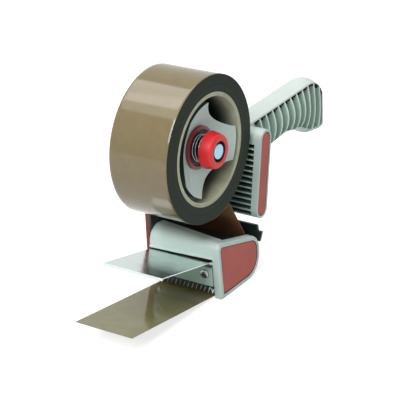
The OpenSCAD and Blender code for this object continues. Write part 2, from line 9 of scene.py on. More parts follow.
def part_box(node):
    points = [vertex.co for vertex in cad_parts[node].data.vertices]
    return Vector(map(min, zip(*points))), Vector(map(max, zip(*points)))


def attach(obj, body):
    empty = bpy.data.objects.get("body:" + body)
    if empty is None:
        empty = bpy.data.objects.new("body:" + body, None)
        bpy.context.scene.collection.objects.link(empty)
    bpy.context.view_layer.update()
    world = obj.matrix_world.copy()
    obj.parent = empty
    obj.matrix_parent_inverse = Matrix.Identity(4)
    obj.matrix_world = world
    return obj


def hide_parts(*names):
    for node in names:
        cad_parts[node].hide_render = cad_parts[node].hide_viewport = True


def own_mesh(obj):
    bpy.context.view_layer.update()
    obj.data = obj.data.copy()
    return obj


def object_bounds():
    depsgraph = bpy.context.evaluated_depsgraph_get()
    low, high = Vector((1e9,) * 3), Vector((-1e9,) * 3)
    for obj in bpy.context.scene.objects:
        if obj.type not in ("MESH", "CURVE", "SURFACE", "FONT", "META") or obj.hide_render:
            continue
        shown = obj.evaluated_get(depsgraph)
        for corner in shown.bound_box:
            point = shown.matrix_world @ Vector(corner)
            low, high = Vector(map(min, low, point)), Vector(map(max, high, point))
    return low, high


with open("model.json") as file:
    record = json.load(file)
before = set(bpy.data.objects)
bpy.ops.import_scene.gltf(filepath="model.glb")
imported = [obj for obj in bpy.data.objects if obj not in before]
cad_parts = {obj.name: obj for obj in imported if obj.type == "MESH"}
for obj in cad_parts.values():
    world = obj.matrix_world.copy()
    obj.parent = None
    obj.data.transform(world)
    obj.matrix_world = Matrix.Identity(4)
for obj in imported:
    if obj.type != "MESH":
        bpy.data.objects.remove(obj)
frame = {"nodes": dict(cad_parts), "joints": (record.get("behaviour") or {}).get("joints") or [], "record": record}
cad_low, cad_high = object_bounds()

# What the frame says about bodies and joints
MM = 0.001
RECORD = frame["record"]
BODY_OF = {node: body for body, nodes in RECORD["behaviour"]["bodies"].items() for node in nodes}
JOINTS = {joint["name"]: joint for joint in frame["joints"]}
ROLL_AXIS = Vector(JOINTS["reel_spin"]["pos_m"])
ROLLER_AXIS = Vector(JOINTS["roller_spin"]["pos_m"])
FLAP_AXIS = Vector(JOINTS["flap_press"]["pos_m"])

# Viewpoint of the photograph, in millimetres and in pixels of its frame
EYE = (594.1, -896.05, 537.6)
VIEW_RIGHT = (0.83619, 0.54702, -0.03937)
VIEW_UP = (-0.19422, 0.36249, 0.91152)
FOCAL_PIXELS = 1597.9
IMAGE_SIZE = 400
SENSOR_WIDTH = 36

# Handle in the side view, in millimetres behind the roll's axis and above the floor
COLUMN_FOOT = (56.3, 48.6)
COLUMN_HEAD = (64.7, 100.4)
COLUMN_HALF = 7.4
COLUMN_NEAR = 30
SLOT_FAR = -22
SLOT_WALL = 5.2
SLOT_DEPTH = 9.5
# Painted shade: the slots are painted dark more than SLOT_LIT behind their front, and the inlay's recess within
# RECESS_BAND and RECESS_RIM
SLOT_LIT = 1.0
SLOT_SLACK = 0.1
COLUMN_SKIN = 0.02
RECESS_BAND = (2, 0.05)
RECESS_RIM = 1
HANDLE_BACK = 187.5
HANDLE_TOP = 104
HANDLE_LIFT = 4
HANDLE_LOW = 76
HOOK_LOW = 60.8
HANDLE_HALF = 13
HANDLE_MID = (120.7, 92.3)
HANDLE_BEND = 196
END_ROUND = 2
END_CORNER = 22
BELLY_START = 91.7
BELLY_END = 128.7
HOOK_ROOT = 148.7
HOOK_TIP = 167.7
LEDGE = 1.3
SPINE_HALF = 9
SPINE_CROWN = 0.7
SPINE_ROUND = 1.1
BELLY_HALF = 9.2
GROOVE_FIRST = 86.2
GROOVE_PITCH = 9.05
GROOVE_HALF = 3.7
GROOVE_DRAFT = 0.3
GROOVE_COUNT = 12
END_WALL = 1.8
WEB_HALF = 2.5
# Height and slope of the painted shadow at the tops of the grooves, under the spine's ledge
LEDGE_SHADOW_TALL = 1.6
LEDGE_SHADOW_SLOPE = 1
GROOVE_EDGE = 0.1
BELLY_EDGE = 0.8
GROOVE_FOOT = (0.2, 0.8)
GROOVE_HEAD = 0.25
FINE_FOOT = 1.6
FINE_HEAD = 0.6
STATION_STEP = 0.6
HANDLE_START = COLUMN_HEAD[0] - 4

# Corners of the handle's outline, from its top round its end to the neck, each with its radius
HANDLE_CORNERS = [
    (HANDLE_START, HANDLE_TOP, 0),
    (HANDLE_BACK, HANDLE_TOP + HANDLE_LIFT, END_CORNER),
    (HANDLE_BACK, HOOK_LOW, 6),
    (HOOK_TIP, HOOK_LOW + 2.6, 20),
    (HOOK_ROOT, HANDLE_LOW - 1.6, 14),
    (BELLY_END, HANDLE_LOW + 3.6, 35),
    (BELLY_START, HANDLE_LOW, 25),
    (HANDLE_START, HANDLE_LOW - 7.5, 0)]

# Changes along the handle: how much, and between which places behind the roll's axis
HOOK_TAPER = (3, 140, 181)
END_TAPER = (1, 180, 185)
NECK_TAPER = (1.2, 138, 90)
BELLY_RISE = (3, 136, 165)
BELLY_SLIMMING = (2, 138, 160)
BELLY_WIDENING = (1.8, 178, 186)
CROWN_RISE = (1.8, 150, 175)
# The painted shadow under the ledge fades out towards the hook.
LEDGE_SHADOW_FADE = (0.6, 160, 180)

# Head in the side view, in millimetres from the roll's axis and the floor
FAR_IN = -26
NEAR_IN = 25.5
NEAR_OUT = 31.5
CHEEK_FRONT = -3.5
CHEEK_BROW = -6.5
CHEEK_H = 46.2
CHEEK_H_BACK = 30.3
CHEEK_BACK = 49.8
CHEEK_LOW_R = 16.5
CHEEK_TOP_R = 14
CHEEK_BROW_R = 4
CHEEK_EDGE = 1.7
RIM = 3.3
INLAY_DEPTH = 1.2
INLAY_LINES = {"cheek_inlay": 1, "column_inlay": 0.45}
HOOD_FRONT = -9.3
HOOD_TOP = 48.5
HOOD_BACK = 9
HOOD_DROP = 2
HOOD_LIP = 32
HOOD_WALL = 3
HOOD_R = 11
HOOD_BEAD = 0.9
HOOD_STEP = 0.7
HOOD_LIP_H = 1.5
HOOD_LIP_TOP = 2.4
HOOD_LAP = 0.6
HOOD_SWEEP = 1.15
RAIL_CUT = 29

# Film in the side view, in millimetres
TAPE_HALF = 24
ROLL_R = 53.5
CORE_R = 41
ROLL_EDGE = 0.35
ROLL_UNEVEN = 0.06
ROLL_WAVE = 0.02
CORE_BORE = 38
# Place across the core, from its middle, below which the board is fully in painted shade
CORE_SHADE_DEPTH = 3
PLY_LINE = [(39.2, 0), (39.5, 0.5), (39.8, 0)]
PLY_ROUND = 0.12
FILM = 0.16
FILM_GAP = 0.45
FILM_LOW = 0.95
FILM_WAVE = 0.07
FILM_CALM = 60
WRAP_ANGLE = 24
PEEL_ANGLE = 24
WEB_START = 12
STRIP_RISE = 8
STRIP_BEND = 80
STRIP_BEND_START = 6
STRIP_REACH = 103.5

# Flap in its own frame, in millimetres from its pin
FLAP_RISE = 13
FLAP_LENGTH = 67.8
FLAP_HALF = 25.2
FLAP_SHEET = 0.8
KNUCKLE_R = 2.5
KNUCKLE_TURN = 318
HEM_DROP = 2
HEM_THICK = 1.2
SPRING_ROOM = 5

# Brake spring, in millimetres
SPRING_R = 9.5
SPRING_WIRE = 1.2
SPRING_TURNS = 2.25
SPRING_END_TURNS = 0.5

# Hub, knob, blade and screws, in millimetres
HUB_FRONT = 12.5
HUB_REACH = 34.9
KNOB_BACK_R = 13.8
KNOB_FRONT_R = 12.2
KNOB_BORE_R = 6.8
KNOB_RECESS_R = 7.6
KNOB_RECESS = 4
KNOB_RECESS_DRAFT = 0.2
TOOTH_H = 4
TOOTH_GRIND = 0.55
SCREW_HEAD = 1.9
HAIR = 0.01

# Studio, in metres
LIT_POINT = (0, 0, 0.08)
WORLD_LEVEL = 0.2
FLOOR_REACH = 3.0
FLOOR_COLOUR = (0.54, 0.54, 0.54, 1)
FLOOR_GLOW = 0.72
LIGHTS = [
    ("ceiling_box", (-0.1, -0.3, 2.1), 2.4, 25),
    ("left_box", (-0.84, 0.06, 1.33), 0.9, 6),
    ("front_box", (0.1, -1.2, 1.1), 0.9, 17),
    ("right_box", (1.5, -0.4, 0.5), 0.9, 3.2)]


def side_point(x, point):
    """Place of a side view point, in millimetres from the roll's axis and the floor."""
    return Vector((x * MM, ROLL_AXIS.y + point[0] * MM, point[1] * MM))


def roll_radius(point):
    """Distance of a point from the roll's axis, in millimetres."""
    return math.hypot(point.y - ROLL_AXIS.y, point.z - ROLL_AXIS.z) / MM


def smooth_step(low, high, value):
    """0 below low, 1 above high and an even rise between them."""
    t = min(max((value - low) / (high - low), 0), 1)
    return t * t * (3 - 2 * t)


def reached(change, y):
    """Part of a change, (how much, start, end), that is reached at y."""
    amount, start, end = change
    return amount * smooth_step(start, end, y)


def evenly(start, end, count):
    """Values from start to end in equal steps, both ends among them."""
    return [start + (end - start) * k / count for k in range(count + 1)]


def quarter_turn(count):
    """Angles from 0 to a right angle in equal steps."""
    return evenly(0, math.pi / 2, count)


def full_turn(count):
    """Angles of a full turn in equal steps, without its end."""
    return evenly(0, math.tau, count)[:-1]


def rounded(path, steps=10):
    """Closed outline through corners given as (a, b, radius)."""
    points = []
    for i, (a, b, radius) in enumerate(path):
        here = Vector((a, b))
        before = (Vector(path[i - 1][:2]) - here).normalized()
        after = (Vector(path[(i + 1) % len(path)][:2]) - here).normalized()
        if radius <= 0:
            points.append(here)
            continue
        half = before.angle(after) / 2
        centre = here + (before + after).normalized() * radius / math.sin(half)
        start = here + before * radius / math.tan(half) - centre
        end = here + after * radius / math.tan(half) - centre
        turn = math.atan2(start.x * end.y - start.y * end.x, start.dot(end))
        for k in range(steps + 1):
            angle = turn * k / steps
            spun = Vector((start.x * math.cos(angle) - start.y * math.sin(angle),
                           start.x * math.sin(angle) + start.y * math.cos(angle)))
            points.append(centre + spun)
    return points


# Making of pieces


def shade(bm, limit):
    """Smooth faces, with the edges sharper than the limit left hard."""
    bmesh.ops.recalc_face_normals(bm, faces=bm.faces)
    for face in bm.faces:
        face.smooth = True
    for edge in bm.edges:
        if len(edge.link_faces) == 2:
            edge.smooth = edge.calc_face_angle() < math.radians(limit)


def link(obj):
    """Puts an object into the scene."""
    bpy.context.scene.collection.objects.link(obj)


def to_mesh(name, bm):
    """Mesh of a bmesh, which is freed."""
    mesh = bpy.data.meshes.new(name)
    bm.to_mesh(mesh)
    bm.free()
    return mesh


def add_piece(name, bm, node, materials, stands_for=True):
    """Turns a bmesh into a piece on the body of a CAD node, hiding the node where the piece stands for it."""
    mesh = to_mesh(name, bm)
    if "custom_normal" in mesh.attributes:
        mesh.attributes.remove(mesh.attributes["custom_normal"])
    for material in materials:
        mesh.materials.append(material)
    obj = bpy.data.objects.new(name, mesh)
    link(obj)
    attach(obj, BODY_OF[node])
    if stands_for:
        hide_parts(node)
    return obj


def node_mesh(node):
    """Copy of a CAD node's mesh, with split vertices joined and flat faces made whole."""
    bm = bmesh.new()
    bm.from_mesh(frame["nodes"][node].data)
    for face in bm.faces:
        face.material_index = 0
    bmesh.ops.remove_doubles(bm, verts=bm.verts, dist=0.002 * MM)
    bmesh.ops.dissolve_limit(bm, angle_limit=math.radians(0.5), verts=bm.verts, edges=bm.edges)
    return bm


def soften(obj, width, segments=3, angle=32):
    """Rounds the edges of a piece, with even shading across its flat faces."""
    bevel = obj.modifiers.new("edges", "BEVEL")
    bevel.width = width * MM
    bevel.segments = segments
    bevel.limit_method = "ANGLE"
    bevel.angle_limit = math.radians(angle)
    bevel.use_clamp_overlap = True
    normals = obj.modifiers.new("normals", "WEIGHTED_NORMAL")
    normals.keep_sharp = True


def dressed(node, material, width):
    """Copy of a CAD node with rounded edges and its own material."""
    bm = node_mesh(node)
    shade(bm, 180)
    soften(add_piece(node + "_piece", bm, node, [material]), width)


def split(bm, point, facing, keep_inner=False):
    """Cuts a mesh by a plane. With keep_inner, what lies beyond it goes and the cut is closed."""
    everything = bm.verts[:] + bm.edges[:] + bm.faces[:]
    cut = bmesh.ops.bisect_plane(bm, geom=everything, plane_co=point, plane_no=facing,
                                 clear_outer=keep_inner, dist=0.001 * MM)
    edges = [item for item in cut["geom_cut"] if isinstance(item, bmesh.types.BMEdge)]
    if keep_inner and edges:
        bmesh.ops.holes_fill(bm, edges=edges)


def bridge(bm, rings, closed_ring=True, material=0, caps=False):
    """Quads between rows of vertices, with a face on each end row where caps are asked for."""
    count = len(rings[0])
    for low, high in zip(rings, rings[1:]):
        for k in range(count if closed_ring else count - 1):
            n = (k + 1) % count
            face = bm.faces.new((low[k], low[n], high[n], high[k]))
            face.material_index = material
    if caps:
        bm.faces.new(rings[0])
        bm.faces.new(rings[-1])


def turned(bm, profile, segments):
    """Turns a closed profile of (x, radius), in millimetres, about the roll's axis."""
    rings = []
    for angle in full_turn(segments):
        rings.append([bm.verts.new((x * MM, ROLL_AXIS.y + r * MM * math.cos(angle),
                                    ROLL_AXIS.z + r * MM * math.sin(angle))) for x, r in profile])
    bridge(bm, rings + rings[:1])


def tube(bm, points, radius, sides):
    """Round wire along points, with flat ends."""
    rings = []
    side = None
    for i, point in enumerate(points):
        along = (points[min(i + 1, len(points) - 1)] - points[max(i - 1, 0)]).normalized()
        if side is None:
            side = along.orthogonal().normalized()
        side = (side - along * side.dot(along)).normalized()
        other = along.cross(side)
        rings.append([bm.verts.new(point + radius * (math.cos(a) * side + math.sin(a) * other))
                      for a in full_turn(sides)])
    bridge(bm, rings, caps=True)


def loose_boxes(node):
    """Lowest and highest corners of each separate solid in a CAD node."""
    bm = node_mesh(node)
    left = set(bm.verts)
    boxes = []
    while left:
        group = set()
        front = [left.pop()]
        while front:
            vert = front.pop()
            group.add(vert)
            for edge in vert.link_edges:
                other = edge.other_vert(vert)
                if other in left:
                    left.remove(other)
                    front.append(other)
        low = Vector([min(v.co[i] for v in group) for i in range(3)])
        high = Vector([max(v.co[i] for v in group) for i in range(3)])
        boxes.append((low, high))
    bm.free()
    return boxes


# Materials


def shader_node(tree, kind, inputs=None, **attributes):
    """Adds a node, with inputs given as values or as other nodes' outputs."""
    new = tree.nodes.new(kind)
    for key, value in attributes.items():
        setattr(new, key, value)
    for key, value in (inputs or {}).items():
        if isinstance(value, bpy.types.NodeSocket):
            tree.links.new(value, new.inputs[key])
        else:
            new.inputs[key].default_value = value
    return new


def new_material(name, **settings):
    """Material with one shader, whose constant sockets are given by name."""
    material = bpy.data.materials.new(name)
    material.use_nodes = True
    tree = material.node_tree
    shader = tree.nodes["Principled BSDF"]
    for key, value in settings.items():
        shader.inputs[key.replace("_", " ")].default_value = value
    place = shader_node(tree, "ShaderNodeTexCoord").outputs["Object"]
    return material, tree, shader, place


def srgb(red, green, blue):
    """Linear colour of a screen colour from 0 to 255."""
    levels = [value / 255 for value in (red, green, blue)]
    linear = [v / 12.92 if v <= 0.04045 else ((v + 0.055) / 1.055) ** 2.4 for v in levels]
    return (*linear, 1.0)


def stretched(tree, place, scale):
    """Place with each axis scaled by its own factor."""
    return shader_node(tree, "ShaderNodeMapping", {"Vector": place, "Scale": scale}).outputs["Vector"]


def grain(tree, place, scale, detail):
    """Noise from 0 to 1."""
    return shader_node(tree, "ShaderNodeTexNoise", {"Vector": place, "Scale": scale,
                                                    "Detail": detail}).outputs["Fac"]


def two_tone(tree, value, dark, light, span=(0.3, 0.7)):
    """Colour that goes from dark to light as a value crosses a span."""
    new = shader_node(tree, "ShaderNodeValToRGB", {"Fac": value})
    for element, position, colour in zip(new.color_ramp.elements, span, (dark, light)):
        element.position = position
        element.color = colour
    return new.outputs["Color"]


def maths(tree, operation, first, second):
    """Result of an operation on two values."""
    return shader_node(tree, "ShaderNodeMath", {0: first, 1: second}, operation=operation).outputs[0]


def average(tree, first, second):
    """Mean of two values."""
    return maths(tree, "MULTIPLY", maths(tree, "ADD", first, second), 0.5)


def between(tree, place, axis, low, high, **attributes):
    """0 to 1 between two places along an axis."""
    value = shader_node(tree, "ShaderNodeSeparateXYZ", {"Vector": place}).outputs[axis]
    limits = {"Value": value, "From Min": low, "From Max": high}
    return shader_node(tree, "ShaderNodeMapRange", limits, **attributes).outputs["Result"]


def mixed(tree, factor, first, second):
    """Colour between two colours."""
    inputs = {"Factor": factor, "A": first, "B": second}
    return shader_node(tree, "ShaderNodeMix", inputs, data_type="RGBA").outputs["Result"]


def spread(tree, value, low, high):
    """Stretches a value around 0.5 to run from low to high."""
    return shader_node(tree, "ShaderNodeMapRange", {"Value": value, "From Min": 0.25, "From Max": 0.75,
                                                    "To Min": low, "To Max": high}).outputs["Result"]


def bump(tree, shader, height, distance):
    """Gives a shader a bump of a height in metres."""
    new = shader_node(tree, "ShaderNodeBump", {"Height": height, "Distance": distance, "Strength": 1.0})
    tree.links.new(new.outputs["Normal"], shader.inputs["Normal"])


def finish(tree, shader, shades, roughness):
    """Gives a shader its colour and roughness."""
    tree.links.new(shades, shader.inputs["Base Color"])
    tree.links.new(roughness, shader.inputs["Roughness"])


def tint(colour, factor):
    """Colour made lighter or darker by a factor."""
    return (*[min(channel * factor, 1) for channel in colour[:3]], 1.0)


def moulded(name, screen, roughness, mottle, pits):
    """Moulded plastic with faint mottling and a fine spark-eroded grain."""
    material, tree, shader, place = new_material(name)
    colour = srgb(*screen)
    fine = grain(tree, place, 2200, 2)
    shades = two_tone(tree, grain(tree, place, 60, 4), tint(colour, 1 - mottle), tint(colour, 1 + mottle))
    finish(tree, shader, shades, spread(tree, fine, roughness - 0.06, roughness + 0.06))
    bump(tree, shader, fine, pits * MM)
    return material


def metal(name, screen, roughness, direction, streak):
    """Bright metal with fine drawn lines along one axis."""
    material, tree, shader, place = new_material(name, Metallic=1.0)
    colour = srgb(*screen)
    scale = [40 if axis == direction else 2500 for axis in range(3)]
    lines = grain(tree, stretched(tree, place, scale), 1, 3)
    shades = two_tone(tree, lines, tint(colour, 1 - streak), tint(colour, 1 + streak))
    finish(tree, shader, shades, spread(tree, grain(tree, place, 90, 3), roughness * 0.7, roughness * 1.3))
    bump(tree, shader, lines, 0.002 * MM)
    return material


def black_paint():
    """Black baked paint with a fine orange peel."""
    material, tree, shader, place = new_material("black_paint", Specular_IOR_Level=0.4)
    peel = grain(tree, place, 1100, 2)
    shades = two_tone(tree, grain(tree, place, 80, 3), srgb(14, 34, 32), srgb(22, 43, 40))
    finish(tree, shader, shades, spread(tree, peel, 0.34, 0.46))
    bump(tree, shader, peel, 0.03 * MM)
    return material


def film_brown():
    """Brown translucent film with a glossy back; in the web above the roller it is painted browner, standing in
    for light shining through it.
    """
    material, tree, shader, place = new_material("film_brown", Transmission_Weight=0.2, IOR=1.45)
    shades = two_tone(tree, grain(tree, place, 140, 4), srgb(122, 118, 80), srgb(130, 126, 88))
    # Painted light: the web is tinted browner between the roll and the roller.
    web = between(tree, place, "Y", ROLL_AXIS.y + WEB_START * MM, ROLLER_AXIS.y)
    lit_through_web = mixed(tree, web, shades, srgb(150, 104, 76))
    finish(tree, shader, lit_through_web, spread(tree, grain(tree, place, 60, 2), 0.05, 0.12))
    bump(tree, shader, grain(tree, place, 45, 2), 0.03 * MM)
    return material


def wound_face():
    """Glossy outside of the wound tape."""
    material, tree, shader, place = new_material("wound_face", IOR=1.6)
    shades = two_tone(tree, grain(tree, place, 160, 4), srgb(112, 98, 63), srgb(118, 104, 68))
    finish(tree, shader, shades, spread(tree, grain(tree, place, 70, 3), 0.09, 0.13))
    return material


def wound_side():
    """Edges of the wound layers, in fine rings about the roll's axis."""
    material, tree, shader, place = new_material("wound_side", Specular_IOR_Level=0.05)
    centred = shader_node(tree, "ShaderNodeVectorMath", {0: place, 1: ROLL_AXIS}, operation="SUBTRACT")
    flat = shader_node(tree, "ShaderNodeVectorMath", {0: centred.outputs[0], 1: (0, 1, 1)},
                       operation="MULTIPLY")
    radius = shader_node(tree, "ShaderNodeVectorMath", {0: flat.outputs[0]}, operation="LENGTH")
    ring_place = shader_node(tree, "ShaderNodeCombineXYZ", {"X": radius.outputs["Value"]}).outputs[0]
    rings = grain(tree, ring_place, 2600, 3)
    layers = average(tree, rings, grain(tree, ring_place, 420, 2))
    shades = two_tone(tree, layers, srgb(34, 42, 36), srgb(52, 60, 52), (0.35, 0.65))
    finish(tree, shader, shades, spread(tree, rings, 0.35, 0.5))
    bump(tree, shader, layers, 0.05 * MM)
    return material


def cardboard():
    """Pale board with fibres, painted darker deep inside the core as shade."""
    material, tree, shader, place = new_material("cardboard", Specular_IOR_Level=0.25)
    fibres = grain(tree, stretched(tree, place, (500, 1800, 1800)), 1, 4)
    pulp = average(tree, fibres, grain(tree, place, 120, 4))
    shades = two_tone(tree, pulp, srgb(176, 181, 154), srgb(200, 205, 180), (0.35, 0.65))
    # Painted shade: the board darkens from the rim towards the core's middle.
    light = between(tree, place, "X", CORE_SHADE_DEPTH * MM, TAPE_HALF * MM, interpolation_type="SMOOTHSTEP")
    painted_shade_colour = mixed(tree, light, srgb(30, 42, 38), shades)
    finish(tree, shader, painted_shade_colour, spread(tree, fibres, 0.75, 0.95))
    bump(tree, shader, pulp, 0.06 * MM)
    return material


def rubber():
    """Black ground rubber."""
    material, tree, shader, place = new_material("rubber", Specular_IOR_Level=0.3)
    dust = grain(tree, place, 900, 4)
    shades = two_tone(tree, dust, srgb(26, 26, 26), srgb(48, 47, 46), (0.3, 0.75))
    finish(tree, shader, shades, spread(tree, dust, 0.6, 0.85))
    bump(tree, shader, dust, 0.04 * MM)
    return material


# Moulded plastics: name, screen colour, roughness, mottling and depth of the grain in millimetres
MOULDED = {
    "grey": ("grey_green_plastic", (188, 207, 201), 0.42, 0.03, 0.02),
    # Painted highlight: a lighter grey for the top of the handle's spine, standing in for the light on it
    "spine": ("spine_painted_highlight_plastic", (206, 217, 212), 0.42, 0.02, 0.02),
    # Painted highlight: a paler grey for the handle's rib crests
    "crest": ("rib_crest_painted_highlight_plastic", (224, 236, 230), 0.4, 0.02, 0.01),
    # Painted shade: a darker, greener grey for the handle's rib walls and the blade bracket
    "rib": ("rib_wall_painted_shade_plastic", (168, 197, 183), 0.5, 0.03, 0.02),
    # Painted shadow for the tops of the handle's grooves under the ledge
    "ledge_shadow": ("pocket_shadow_plastic", (22, 36, 32), 0.6, 0.03, 0.02),
    # Painted shade: a darker grey deep in the column's slots and round its inlay
    "slot": ("slot_painted_shade_plastic", (110, 150, 140), 0.6, 0.05, 0.02),
    "deep": ("slot_shadow_plastic", (46, 62, 58), 0.6, 0.05, 0.02),
    "brick": ("brick_red_plastic", (175, 80, 67), 0.55, 0.08, 0.03),
    # Painted shade: a darker copy of the brick red for the far side cover
    "cover": ("cover_red_painted_shade_plastic", (116, 42, 36), 0.55, 0.08, 0.03),
    "red": ("bright_red_plastic", (216, 32, 38), 0.42, 0.05, 0.012),
    "cup": ("cup_red_plastic", (130, 42, 46), 0.42, 0.05, 0.012),
    "dark": ("recess_shadow_plastic", (44, 22, 24), 0.6, 0.05, 0.012),
    "bush": ("ivory_plastic", (222, 218, 204), 0.4, 0.03, 0.01),
    "roller": ("roller_plastic", (226, 223, 214), 0.4, 0.03, 0.01),
}

# Metals: name, screen colour, roughness, axis of the drawn lines and their strength
METALS = {
    "steel": ("bright_steel", (205, 208, 212), 0.26, 0, 0.05),
    "blade": ("blade_steel", (84, 98, 110), 0.3, 0, 0.05),
    "ground": ("ground_steel", (214, 220, 224), 0.5, 2, 0.05),
    "mirror": ("polished_steel", (206, 216, 214), 0.2, 0, 0.01),
    "hem": ("hem_steel", (150, 158, 158), 0.4, 0, 0.05),
    "bolt": ("bolt_steel", (150, 187, 203), 0.22, 0, 0.02),
    "wire": ("spring_wire", (150, 152, 156), 0.14, 0, 0.02),
    "brass": ("brass", (196, 160, 92), 0.3, 0, 0.05),
}


def make_materials():
    """Every material by name."""
    made = {key: moulded(*values) for key, values in MOULDED.items()}
    made.update({key: metal(*values) for key, values in METALS.items()})
    made.update(black=black_paint(), film=film_brown(), wound=wound_face(), side=wound_side(),
                card=cardboard(), rubber=rubber())
    return made


# Pieces with a shape of their own


def handle_limits(outline, y):
    """Lowest and highest point of an outline at y."""
    heights = []
    for a, b in zip(outline, outline[1:] + outline[:1]):
        if min(a.x, b.x) <= y <= max(a.x, b.x) and a.x != b.x:
            heights.append(a.y + (b.y - a.y) * (y - a.x) / (b.x - a.x))
    return min(heights), max(heights)


def groove_share(y):
    """1 in a groove, 0 on a rib and an even fall between them."""
    nearest = min(max(round((y - GROOVE_FIRST) / GROOVE_PITCH), 0), GROOVE_COUNT - 1)
    away = abs(y - GROOVE_FIRST - nearest * GROOVE_PITCH)
    groove = 1 - smooth_step(GROOVE_HALF - GROOVE_DRAFT, GROOVE_HALF + GROOVE_DRAFT, away)
    end = HANDLE_BACK - END_WALL
    return groove * (1 - smooth_step(end - GROOVE_DRAFT, end + GROOVE_DRAFT, y))


def handle_section(y, outline):
    """Right half of the handle's section at y, as belly, grooved side and spine."""
    low, high = handle_limits(outline, y)
    mid = HANDLE_MID[1] - HANDLE_BEND + math.sqrt(HANDLE_BEND ** 2 - (y - HANDLE_MID[0]) ** 2)
    into_end = min(max(y - HANDLE_BACK + END_ROUND, 0), END_ROUND)
    end_cut = END_ROUND - math.sqrt(END_ROUND ** 2 - into_end ** 2)
    share = groove_share(y)
    widest = HANDLE_HALF - sum(reached(taper, y) for taper in (HOOK_TAPER, END_TAPER, NECK_TAPER))
    ledge = high - LEDGE
    belly = low + BELLY_EDGE + reached(BELLY_RISE, y)
    belly_half = BELLY_HALF - reached(BELLY_SLIMMING, y) + reached(BELLY_WIDENING, y)
    crown = SPINE_CROWN + reached(CROWN_RISE, y)

    def half(z):
        if z >= mid:
            return widest - (widest - SPINE_HALF) * ((z - mid) / (ledge - mid)) ** 2 - end_cut
        return widest - (widest - belly_half) * ((mid - z) / (mid - belly)) ** 2 - end_cut

    def depth(z):
        above_foot = smooth_step(belly + GROOVE_FOOT[0], belly + GROOVE_FOOT[1], z)
        return (half(z) - WEB_HALF) * above_foot * (1 - smooth_step(ledge - GROOVE_HEAD, ledge, z))

    under = [(half(belly) * math.sin(a), belly - (belly - low) * math.cos(a)) for a in quarter_turn(8)[:-1]]
    rows = evenly(belly, belly + FINE_FOOT, 8)[:-1]
    rows += evenly(belly + FINE_FOOT, ledge - FINE_HEAD, 22)[:-1]
    rows += evenly(ledge - FINE_HEAD, ledge, 6)
    side = [(half(z) - share * depth(z), z) for z in rows]
    edge = half(ledge) - SPINE_ROUND
    spine = [(edge + SPINE_ROUND * math.cos(a), ledge + LEDGE * math.sin(a)) for a in quarter_turn(6)[1:]]
    spine += [(x, high + crown * (1 - (x / edge) ** 2)) for x in evenly(edge, 0, 6)[1:]]
    return under, side, spine


def handle_stations():
    """Places along the handle, closer together on the walls of the grooves."""
    start, straight_end = HANDLE_START + 1, HANDLE_BACK - END_ROUND
    just_inside = 0.999
    stations = evenly(start, straight_end, int((straight_end - start) / STATION_STEP))[:-1]
    for i in range(GROOVE_COUNT):
        for side in (-1, 1):
            wall = GROOVE_FIRST + i * GROOVE_PITCH + side * GROOVE_HALF
            if wall < straight_end - GROOVE_DRAFT:
                stations += evenly(wall - GROOVE_DRAFT, wall + GROOVE_DRAFT, 6)
    stations += [straight_end + END_ROUND * math.sin(a) * just_inside for a in quarter_turn(14)]
    return sorted(stations)


def make_handle(material, spine_highlight_material, rib, crest, dark):
    """Handle of a web with thin ribs, a crowned spine, a smooth belly and a hooked end; its spine and rib crests
    are painted lighter as a highlight, its groove walls darker as shade and the tops of its grooves darkest as the
    shadow under the ledge.
    """
    plain_look, spine_highlight_look, rib_shade_look, crest_highlight_look, ledge_shadow_look = range(5)
    outline = rounded(HANDLE_CORNERS, 16)
    first_rib = GROOVE_FIRST - GROOVE_HALF
    last_rib = GROOVE_FIRST + (GROOVE_COUNT - 1) * GROOVE_PITCH
    bm = bmesh.new()
    rings = []
    ledges = []
    stations = handle_stations()
    for y in stations:
        under, side, spine = handle_section(y, outline)
        ledges.append(side[-1][1])
        right = under + side + spine
        left = [(-x, z) for x, z in reversed(right[1:-1])]
        rings.append([bm.verts.new(side_point(x, (y, z))) for x, z in right + left])
    side_first, side_last = len(under), len(under) + len(side) - 1
    total = len(rings[0])
    for i, y in enumerate(stations[:-1]):
        middle = (y + stations[i + 1]) / 2
        share = groove_share(middle)
        # Faces on a rib's crest take the painted highlight.
        on_rib = first_rib < middle < last_rib and share < GROOVE_EDGE
        for k in range(total):
            n = (k + 1) % total
            face = bm.faces.new((rings[i][k], rings[i][n], rings[i + 1][n], rings[i + 1][k]))
            mirrored = min(k, total - 1 - k)
            x, z = (sum(v.co[axis] for v in face.verts) / 4 / MM for axis in (0, 2))
            # Height under the ledge that takes the painted shadow, taller where the side bows out.
            ledge_shadow = LEDGE_SHADOW_TALL + LEDGE_SHADOW_SLOPE * max(SPINE_HALF - abs(x), 0)
            ledge_shadow *= 1 - reached(LEDGE_SHADOW_FADE, middle)
            if side_first <= mirrored < side_last:
                in_ledge_shadow = share > GROOVE_EDGE and ledges[i] - z < ledge_shadow
                # Groove walls take the painted shade, except the crests and the painted shadow under the ledge.
                face.material_index = crest_highlight_look if on_rib else ledge_shadow_look if in_ledge_shadow else rib_shade_look
            else:
                # The spine takes the painted highlight.
                face.material_index = spine_highlight_look if mirrored >= side_last else plain_look
    bm.faces.new(rings[0])
    bm.faces.new(rings[-1])
    shade(bm, 40)
    add_piece("handle", bm, "grip_frame", [material, spine_highlight_material, rib, crest, dark], stands_for=False)


